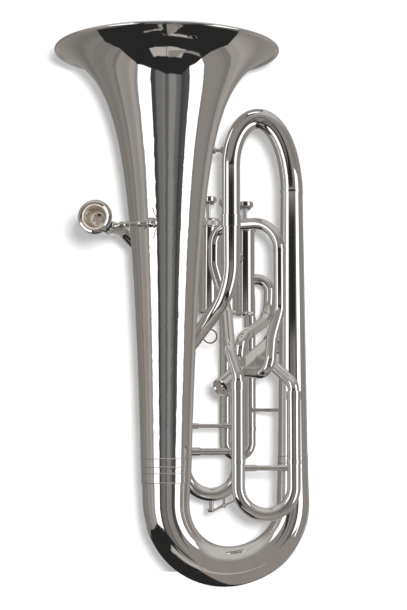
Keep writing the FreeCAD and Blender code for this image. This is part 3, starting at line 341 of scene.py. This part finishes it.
def plate_wear_group():
    """Tarnish, wipe marks and faint waves that all the plated metal shares."""
    tree = bpy.data.node_groups.new("plate_wear", "ShaderNodeTree")
    face = tree.interface
    for name, kind in (("Stretch", "NodeSocketVector"), ("Wave", "NodeSocketFloat"), ("Dull", "NodeSocketFloat")):
        face.new_socket(name, in_out="INPUT", socket_type=kind)
    for name, kind in (("Tarnish", "NodeSocketFloat"), ("Roughness", "NodeSocketFloat"),
                       ("Normal", "NodeSocketVector")):
        face.new_socket(name, in_out="OUTPUT", socket_type=kind)
    taken = tree.nodes.new("NodeGroupInput").outputs
    given = tree.nodes.new("NodeGroupOutput").inputs
    place = object_place(tree)
    along = vector_node(tree, "MULTIPLY", place, taken["Stretch"]).outputs[0]
    cloudy = noise(tree, place, CLOUDS)
    smear = noise(tree, along, SMEARS)
    hairs = noise(tree, along, HAIRS)
    waves = noise(tree, along, WAVES)
    patches = ramp(tree, math_node(tree, "MULTIPLY", cloudy, smear), PATCH_EDGE, "EASE")
    feed(tree, given["Tarnish"], math_node(tree, "MULTIPLY", patches, taken["Dull"]))
    wiped = math_node(tree, "MULTIPLY", smear, SMEAR_ROUGHNESS)
    fine = math_node(tree, "MULTIPLY", hairs, HAIR_ROUGHNESS)
    worn = math_node(tree, "ADD", taken["Dull"], LEAST_DULL)
    rough = math_node(tree, "MULTIPLY", math_node(tree, "ADD", wiped, fine), worn)
    feed(tree, given["Roughness"], math_node(tree, "ADD", rough, LEAST_ROUGHNESS))
    waved = bump(tree, waves, WAVE_DISTANCE, taken["Wave"])
    feed(tree, given["Normal"], bump(tree, hairs, HAIR_DISTANCE, HAIR_STRENGTH, waved))
    return tree


PLATE_WEAR = plate_wear_group()


def plated(name, stretch, wave, dull, washed=False):
    """Polished silver plate. stretch follows the way the piece was spun, drawn or turned. A washed piece is
    gold coloured round the cup."""
    material, tree, sockets = new_surface(name, {"Metallic": 1.0})
    wear = tree.nodes.new("ShaderNodeGroup")
    wear.node_tree = PLATE_WEAR
    wear.inputs["Stretch"].default_value = stretch
    wear.inputs["Wave"].default_value = wave
    wear.inputs["Dull"].default_value = dull
    colour = mix_colour(tree, wear.outputs["Tarnish"], SILVER_CLEAN, SILVER_DULL)
    if washed:
        away = vector_node(tree, "DISTANCE", object_place(tree), WASH_CENTRE).outputs["Value"]
        gilt = ramp(tree, math_node(tree, "DIVIDE", away, WASH_REACH), WASH_EDGE)
        colour = mix_colour(tree, gilt, colour, GOLD_WASH)
    feed(tree, sockets["Base Color"], colour)
    feed(tree, sockets["Roughness"], wear.outputs["Roughness"])
    feed(tree, sockets["Normal"], wear.outputs["Normal"])
    return material


def gold_material():
    """Satin gold wash with painted light in its colour. Its tone follows the depth in the cup, along the
    mouthpiece's axis from the rim: painted highlight rings, and painted shade that grows dark into the throat.
    """
    material, tree, sockets = new_surface("gold_wash_with_painted_light", {
        "Metallic": GOLD_METAL, "Coat Weight": GOLD_COAT, "Coat Roughness": GOLD_COAT_ROUGHNESS})
    place = object_place(tree)
    along = vector_node(tree, "DOT_PRODUCT", place, MOUTH_AXIS).outputs["Value"]
    start = math_node(tree, "SUBTRACT", along, MOUTH_RIM.dot(MOUTH_AXIS))
    depth = math_node(tree, "DIVIDE", start, GOLD_DEPTH, True)
    worn = mix_colour(tree, noise(tree, place, GOLD_GRAIN), (GOLD_WORN, GOLD_WORN, GOLD_WORN, 1), WHITE)
    # Painted highlights and painted shade by depth, dimmed by the random worn grain
    tone = mix_colour(tree, 1.0, ramp(tree, depth, GOLD_AND_PAINTED_LIGHT_TONES), worn, "MULTIPLY")
    feed(tree, sockets["Base Color"], tone)
    feed(tree, sockets["Roughness"], ramp(tree, worn, GOLD_ROUGHNESS))
    return material


def felt_material():
    material, tree, sockets = new_surface("felt", {"Roughness": FELT_ROUGHNESS, "Sheen Weight": FELT_SHEEN})
    fibres = noise(tree, object_place(tree), FELT_FIBRES)
    feed(tree, sockets["Base Color"], mix_colour(tree, fibres, FELT_DARK, FELT_LIGHT))
    feed(tree, sockets["Normal"], bump(tree, fibres, FELT_BUMP_DISTANCE, FELT_BUMP_STRENGTH))
    return material


def steel_material():
    material, tree, sockets = new_surface("spring_wire", {"Metallic": 1.0})
    marks = noise(tree, object_place(tree), WIRE_MARKS)
    feed(tree, sockets["Base Color"], ramp(tree, marks, WIRE_TONES))
    feed(tree, sockets["Roughness"], ramp(tree, marks, WIRE_ROUGHNESS))
    return material


SPUN = plated("plate_spun", stretch=(1, 1, 0.12), wave=0.015, dull=0.18)
DRAWN = plated("plate_drawn", stretch=(1, 1, 0.2), wave=0.05, dull=0.3)
BENT = plated("plate_bent", stretch=(1, 1, 1), wave=0.12, dull=0.4)
TURNED = plated("plate_turned", stretch=(0.3, 0.3, 3), wave=0.05, dull=0.45)
CAST = plated("plate_cast", stretch=(1, 1, 1), wave=0.35, dull=0.7)
CUP = plated("plate_mouthpiece", stretch=(1, 1, 1), wave=0.03, dull=0.25, washed=True)
GOLD = gold_material()
FELT = felt_material()
STEEL = steel_material()


def material_for(name):
    if name.endswith("_spring"):
        return STEEL
    if name in ("bell", "bell_rim_bead"):
        return SPUN
    if name == "mouthpiece":
        return CUP
    if name.endswith(("_brace", "_lever", "_ring")) or name == "bow_guard":
        return CAST
    if name.endswith(("_button", "_caps", "_ferrule", "_ferrules", "_receiver", "_sleeves", "_casing", "_piston")):
        return TURNED
    if name in ("outer_branch", "left_branch"):
        return DRAWN
    return BENT


for node_name, node_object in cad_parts.items():
    node_object.data.materials.clear()
    node_object.data.materials.append(material_for(node_name))
    node_object.visible_glossy = node_name in SEEN_IN_METAL


# ---------------------------------------------------------------- pieces worked out with numpy

def frame_of(axis):
    """The axis at unit length, and two unit directions square to it and to each other."""
    axis = np.array(axis, float)
    axis /= np.linalg.norm(axis)
    first = np.cross(axis, (0.0, 0.0, 1.0) if abs(axis[2]) < NEARLY_UPRIGHT else (1.0, 0.0, 0.0))
    first /= np.linalg.norm(first)
    return axis, first, np.cross(axis, first)


def grid_piece(name, body, material, points, close_across=False):
    """Makes a mesh of a grid of points, rows by columns. The columns close into a ring, the rows too if asked."""
    rows, columns = points.shape[:2]
    numbers = np.arange(rows * columns).reshape(rows, columns)
    if close_across:
        numbers = np.concatenate([numbers, numbers[:1]])
    turned = np.roll(numbers, -1, axis=1)
    faces = np.stack([numbers[:-1], turned[:-1], turned[1:], numbers[1:]], axis=-1).reshape(-1, 4)
    mesh = bpy.data.meshes.new(name)
    mesh.from_pydata(points.reshape(-1, 3).tolist(), [], faces.tolist())
    mesh.polygons.foreach_set("use_smooth", np.ones(len(faces), bool))
    mesh.materials.append(material)
    item = bpy.data.objects.new(name, mesh)
    item.visible_glossy = name in SEEN_IN_METAL
    bpy.context.scene.collection.objects.link(item)
    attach(item, body)
    return item


def turned_ring(profile, base, axis, steps):
    """Surface of turning: each profile point (radius, height) is carried round the axis,
    place = base + axis * height + radius * (first * cos(turn) + second * sin(turn)).
    The profile runs so that faces look outwards: up the outside and down the inside."""
    axis, first, second = frame_of(axis)
    profile = np.array(profile, float) * MILLIMETRE
    turn = np.linspace(0, 2 * np.pi, steps, endpoint=False)
    ring = np.cos(turn)[:, None] * first + np.sin(turn)[:, None] * second
    return np.array(base) * MILLIMETRE + profile[:, 1, None, None] * axis + profile[:, 0, None, None] * ring[None]


def soft_ring_profile(inner, outer, low, high, power=9.0, points=40):
    """Closed superellipse: (radius, height) = middle + half size * sign(t) * |cos or sin(t)| ** (2 / power)."""
    turn = np.linspace(-np.pi / 2, 1.5 * np.pi, points, endpoint=False)
    across, up = np.cos(turn), np.sin(turn)
    radius = (inner + outer) / 2 + (outer - inner) / 2 * np.sign(across) * np.abs(across) ** (2 / power)
    height = (low + high) / 2 + (high - low) / 2 * np.sign(up) * np.abs(up) ** (2 / power)
    return np.stack([radius, height], axis=-1)


def felt_washer(name, body, base, axis):
    """Pressed felt ring under a finger button: a superellipse turned round the stem, whose reach from the
    middle of each turned circle is multiplied by 1 + 0.006 * sin(5 turn) + 0.004 * sin(11 turn + 1)."""
    profile = soft_ring_profile(FELT_INSIDE, FELT_OUTSIDE, FELT_LOW, FELT_HIGH)
    points = turned_ring(profile, base, axis, FELT_STEPS)
    middle = points.mean(axis=1, keepdims=True)
    turn = np.linspace(0, 2 * np.pi, FELT_STEPS, endpoint=False)
    wave = 1 + 0.006 * np.sin(5 * turn) + 0.004 * np.sin(11 * turn + 1)
    grid_piece(name, body, FELT, middle + (points - middle) * wave[None, :, None], True)


def knurled_band(name, base, axis, radius, low, high, teeth):
    """Milled grip round a cap: radius + GRIP_LIFT + GRIP_DEPTH * ridge(turn) * end(height), where ridge is the
    rounded peak 1 - |sin(teeth * turn / 2)| and end falls to nothing at the band's two edges, which dip
    below the cap."""
    axis, first, second = frame_of(axis)
    turn = np.linspace(0, 2 * np.pi, teeth * GRIP_POINTS, endpoint=False)
    ridge = 1 - np.abs(np.sin(teeth * turn / 2))
    ends = np.array(GRIP_ENDS)
    raised = GRIP_DEPTH * ridge[None] * np.clip(ends, 0, 1)[:, None]
    reach = radius + GRIP_LIFT + raised + np.minimum(ends, 0)[:, None]
    height = low + (high - low) * np.array(GRIP_SHARE)
    ring = np.cos(turn)[:, None] * first + np.sin(turn)[:, None] * second
    points = np.array(base) + height[:, None, None] * axis + reach[:, :, None] * ring[None]
    grid_piece(name, "instrument", TURNED, points * MILLIMETRE)


def wound_wire(name, body, centre, axis, radius, half_length, turns, wire, tails):
    """Round wire carried along a helix: the path is centre + axis * (2s - 1) * half length
    + radius * (cos, sin)(2 pi turns s), and its two ends run on as straight tails."""
    axis, first, second = frame_of(axis)
    s = np.linspace(0, 1, turns * COIL_STEPS + 1)
    turn = 2 * np.pi * turns * s
    circle = np.cos(turn)[:, None] * first + np.sin(turn)[:, None] * second
    path = axis * ((2 * s - 1) * half_length)[:, None] + radius * circle
    path = np.concatenate([np.array(tails[0])[None], path, np.array(tails[1])[None]]) + np.array(centre)
    along = np.gradient(path, axis=0)
    along /= np.linalg.norm(along, axis=1, keepdims=True)
    side = np.cross(along, axis)
    side /= np.linalg.norm(side, axis=1, keepdims=True)
    lift = np.cross(along, side)
    around = np.linspace(0, 2 * np.pi, COIL_SIDES, endpoint=False)
    ring = np.cos(around)[None, :, None] * side[:, None] + np.sin(around)[None, :, None] * lift[:, None]
    starts, stops = (np.repeat(end[:, None], COIL_SIDES, axis=1) for end in (path[:1], path[-1:]))
    points = np.concatenate([starts, path[:, None] + wire * ring, stops])
    grid_piece(name, body, STEEL, points * MILLIMETRE)


def cup_lining():
    """Gold wash in the mouthpiece, a sheet just inside the cup that carries painted highlight rings and painted
    shade: the profile of rim, two fine grooves, cone and throat, given as depth and radius, is blended straight
    between its stations and turned round the mouthpiece's axis."""
    stations = np.linspace(CUP_DEPTHS[0], CUP_DEPTHS[-1], LINING_ROWS)
    reach = np.interp(stations, CUP_DEPTHS, CUP_RADII) - LINING_GAP
    profile = np.stack([reach, stations], axis=-1)[::-1]
    points = turned_ring(profile, np.array(MOUTH_RIM) / MILLIMETRE, MOUTH_AXIS, LINING_STEPS)
    grid_piece("cup_lining", "mouthpiece_lift", GOLD, points)


def lined_sleeve(name, replaced, axis_x, heights, radii, lines):
    """Thin joint sleeve: the radius runs between the given stations, plus a rounded line
    LINE_RAISE * exp(-((height - line) / LINE_HALF) ** 4) at each line, and both ends close on the tube."""
    stations = np.linspace(heights[0], heights[-1], SLEEVE_ROWS)
    reach = np.interp(stations, heights, radii)
    reach += LINE_RAISE * np.exp(-((stations[:, None] - np.array(lines)) / LINE_HALF) ** 4).sum(axis=1)
    reach = np.concatenate([[reach[0] - SLEEVE_END], reach, [reach[-1] - SLEEVE_END]])
    stations = np.concatenate([stations[:1], stations, stations[-1:]])
    points = turned_ring(np.stack([reach, stations], axis=-1), (axis_x, 0, 0), (0, 0, 1), SLEEVE_STEPS)
    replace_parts(grid_piece(name, "instrument", DRAWN, points), replaced)


def fine_pieces():
    for number, (base, axis) in enumerate(VALVES, 1):
        felt_washer(f"button_felt_{number}", f"valve_{number}", base, axis)
        knurled_band(f"top_cap_grip_{number}", base, axis, *TOP_GRIP)
        if number <= LOW_GRIPS:
            knurled_band(f"bottom_cap_grip_{number}", base, axis, *LOW_GRIP)
    wound_wire("water_key_coil", "main_slide", KEY_PIVOT, COIL_AXIS, COIL_RADIUS, COIL_HALF_LENGTH, COIL_TURNS,
               COIL_WIRE, COIL_TAILS)
    cup_lining()
    lined_sleeve("bell_joint_sleeve", "bell_ferrule", *BELL_SLEEVE)
    lined_sleeve("branch_joint_sleeve", "branch_ferrule", *BRANCH_SLEEVE)


fine_pieces()


# ---------------------------------------------------------------- studio

def studio_world():
    """White to the camera. Metal sees grey paper walls, a darker camera side, and black straight down."""
    world = bpy.data.worlds.new("studio")
    bpy.context.scene.world = world
    world.use_nodes = True
    tree = world.node_tree
    parts = tree.nodes.new("ShaderNodeSeparateXYZ")
    feed(tree, parts.inputs[0], tree.nodes.new("ShaderNodeTexCoord").outputs["Generated"])
    towards = math_node(tree, "MULTIPLY", parts.outputs["Y"], -1.0)
    turn = math_node(tree, "DEGREES", math_node(tree, "ARCTAN2", parts.outputs["X"], towards))
    rise = math_node(tree, "DEGREES", math_node(tree, "ARCSINE", parts.outputs["Z"]))
    share = math_node(tree, "ADD", math_node(tree, "DIVIDE", turn, 360.0), 0.5)
    stops = [(0.5 + (bearing + step * LINE_SPREAD) / 360, left if step == 0 else 1.0)
             for bearing, left in WALL_LINES for step in (-1, 0, 1)]
    walls = mix_colour(tree, ramp(tree, share, stops), BLACK, ramp(tree, share, WALL_TONES))
    front = math_node(tree, "MULTIPLY", inside(tree, turn, *FRONT_BEARINGS), inside(tree, rise, *FRONT_RISES))
    tone = mix_colour(tree, front, walls, ramp(tree, share, FRONT_TONES))
    block = math_node(tree, "MULTIPLY", inside(tree, turn, *BLOCK_BEARINGS), inside(tree, rise, *BLOCK_RISES))
    tone = mix_colour(tree, block, tone, BLACK)
    tone = mix_colour(tree, inside(tree, rise, *GROUND_RISES), tone, BLACK)
    tone = mix_colour(tree, inside(tree, rise, *ZENITH_RISES), tone, OVERHEAD)
    ray = tree.nodes.new("ShaderNodeLightPath").outputs
    lit = mix_colour(tree, ray["Is Glossy Ray"], AMBIENT, tone)
    feed(tree, tree.nodes["Background"].inputs["Color"], mix_colour(tree, ray["Is Camera Ray"], lit, WHITE))


def aimed(place, target):
    """Matrix of a lamp at place that shines towards target."""
    turn = (Vector(target) - Vector(place)).to_track_quat("-Z", "Y")
    return Matrix.Translation(place) @ turn.to_matrix().to_4x4()


def sheet_of(name, corners, material):
    mesh = bpy.data.meshes.new(name)
    mesh.from_pydata(corners, [], [tuple(range(len(corners)))])
    mesh.materials.append(material)
    item = bpy.data.objects.new(name, mesh)
    bpy.context.scene.collection.objects.link(item)
    return item


def glow_material(name, colour, level=1.0):
    """Even glow of one colour, which lights nothing."""
    material = bpy.data.materials.new(name)
    material.use_nodes = True
    tree = material.node_tree
    tree.nodes.clear()
    light = tree.nodes.new("ShaderNodeEmission")
    light.inputs["Color"].default_value = colour
    light.inputs["Strength"].default_value = level
    feed(tree, tree.nodes.new("ShaderNodeOutputMaterial").inputs["Surface"], light.outputs[0])
    material.cycles.emission_sampling = "NONE"
    return material


def sheet_for_metal(name, corners, material):
    """Stage sheet that is seen in the metal alone."""
    item = sheet_of(name, corners, material)
    item.visible_camera = False
    item.visible_diffuse = False
    item.visible_shadow = False


def strip_light(name, bearing, width):
    """Tall softbox that only the metal sees, at a bearing in degrees from the bell, 0 towards the camera."""
    turn = math.radians(bearing)
    middle = Vector((BELL_X, 0, 0)) + Vector((math.sin(turn), -math.cos(turn), 0)) * STRIP_REACH
    side = Vector((math.cos(turn), math.sin(turn), 0)) * STRIP_REACH * math.tan(math.radians(width / 2))
    low, high = Vector((0, 0, STRIP_LOW)), Vector((0, 0, STRIP_HIGH))
    corners = [middle - side + low, middle + side + low, middle + side + high, middle - side + high]
    sheet_for_metal(name, corners, glow_material(name, WHITE, STRIP_LEVEL))


def table_below():
    """Black table that only the metal sees, with grey paper at its right and a pale card towards the camera."""
    material = glow_material("table_black", BLACK)
    tree = material.node_tree
    parts = tree.nodes.new("ShaderNodeSeparateXYZ")
    feed(tree, parts.inputs[0], object_place(tree))
    slanted = math_node(tree, "MULTIPLY", parts.outputs["Y"], PAPER_SLANT)
    across = math_node(tree, "SUBTRACT", parts.outputs["X"], slanted)
    right = math_node(tree, "GREATER_THAN", across, PAPER_SIDE)
    length = tree.nodes.new("ShaderNodeLightPath").outputs["Ray Length"]
    close = math_node(tree, "LESS_THAN", length, PAPER_REACH)
    tone = mix_colour(tree, math_node(tree, "MULTIPLY", right, close), BLACK, PAPER_GREY)
    feed(tree, tree.nodes["Emission"].inputs["Color"], tone)
    sheet_for_metal("table_under", [(x, y, TABLE_HEIGHT) for x, y in TABLE], material)
    sheet_for_metal("paper_before_bow", BOW_PAPER, glow_material("grey_paper", PAPER_GREY))
    card = glow_material("pale_card", CARD)
    near, far = CARD_DEPTH
    for number, (left, right) in enumerate(CARD_HALVES, 1):
        corners = [(x, y, CARD_HEIGHT) for x, y in ((left, near), (right, near), (right, far), (left, far))]
        sheet_for_metal(f"card_on_table_{number}", corners, card)


def studio_lights():
    strip_light("right_strip", *RIGHT_STRIP)
    strip_light("left_strip", *LEFT_STRIP)
    table_below()
    key = bpy.data.lights.new("key", "AREA")
    key.shape = "DISK"
    key.size = KEY_SIZE
    key.energy = KEY_POWER
    item = bpy.data.objects.new("key", key)
    item.matrix_world = aimed(KEY_PLACE, KEY_TARGET)
    item.visible_camera = False
    item.visible_glossy = False
    bpy.context.scene.collection.objects.link(item)


def pale(name, glow):
    """Matt white paper, brought up to white for the camera alone."""
    material, tree, sockets = new_surface(name, {
        "Base Color": PAPER_WHITE, "Roughness": PAPER_ROUGHNESS, "Specular IOR Level": 0.0,
        "Emission Color": WHITE})
    camera_ray = tree.nodes.new("ShaderNodeLightPath").outputs["Is Camera Ray"]
    feed(tree, sockets["Emission Strength"], math_node(tree, "MULTIPLY", camera_ray, glow))
    return material


def studio_floor():
    """Pale floor, and a pale sheet behind that is clear from its back. The metal sees past both."""
    half, near, back, top = FLOOR_HALF, FLOOR_NEAR, WALL_BACK, WALL_TOP
    floor = sheet_of("floor", [(-half, near, 0), (half, near, 0), (half, half, 0), (-half, half, 0)],
                     pale("floor_paper", FLOOR_GLOW))
    wall = pale("wall_paper", WALL_GLOW)
    tree = wall.node_tree
    pick = tree.nodes.new("ShaderNodeMixShader")
    feed(tree, pick.inputs[0], tree.nodes.new("ShaderNodeNewGeometry").outputs["Backfacing"])
    feed(tree, pick.inputs[1], tree.nodes["Principled BSDF"].outputs[0])
    feed(tree, pick.inputs[2], tree.nodes.new("ShaderNodeBsdfTransparent").outputs[0])
    feed(tree, tree.nodes["Material Output"].inputs["Surface"], pick.outputs[0])
    sheet = sheet_of("backdrop", [(-half, back, 0), (half, back, 0), (half, back, top), (-half, back, top)], wall)
    floor.visible_glossy = False
    sheet.visible_glossy = False


def studio_camera():
    data = bpy.data.cameras.new("camera")
    data.lens = CAMERA_LENS
    data.sensor_width = CAMERA_SENSOR
    data.clip_start = CAMERA_NEAR
    item = bpy.data.objects.new("camera", data)
    turn = Matrix.Rotation(math.radians(90 + CAMERA_PITCH), 4, "X")
    item.matrix_world = Matrix.Translation(CAMERA_PLACE) @ turn
    bpy.context.scene.collection.objects.link(item)
    bpy.context.scene.camera = item


studio_world()
studio_lights()
studio_floor()
studio_camera()
bpy.context.scene.view_settings.view_transform = "Standard"
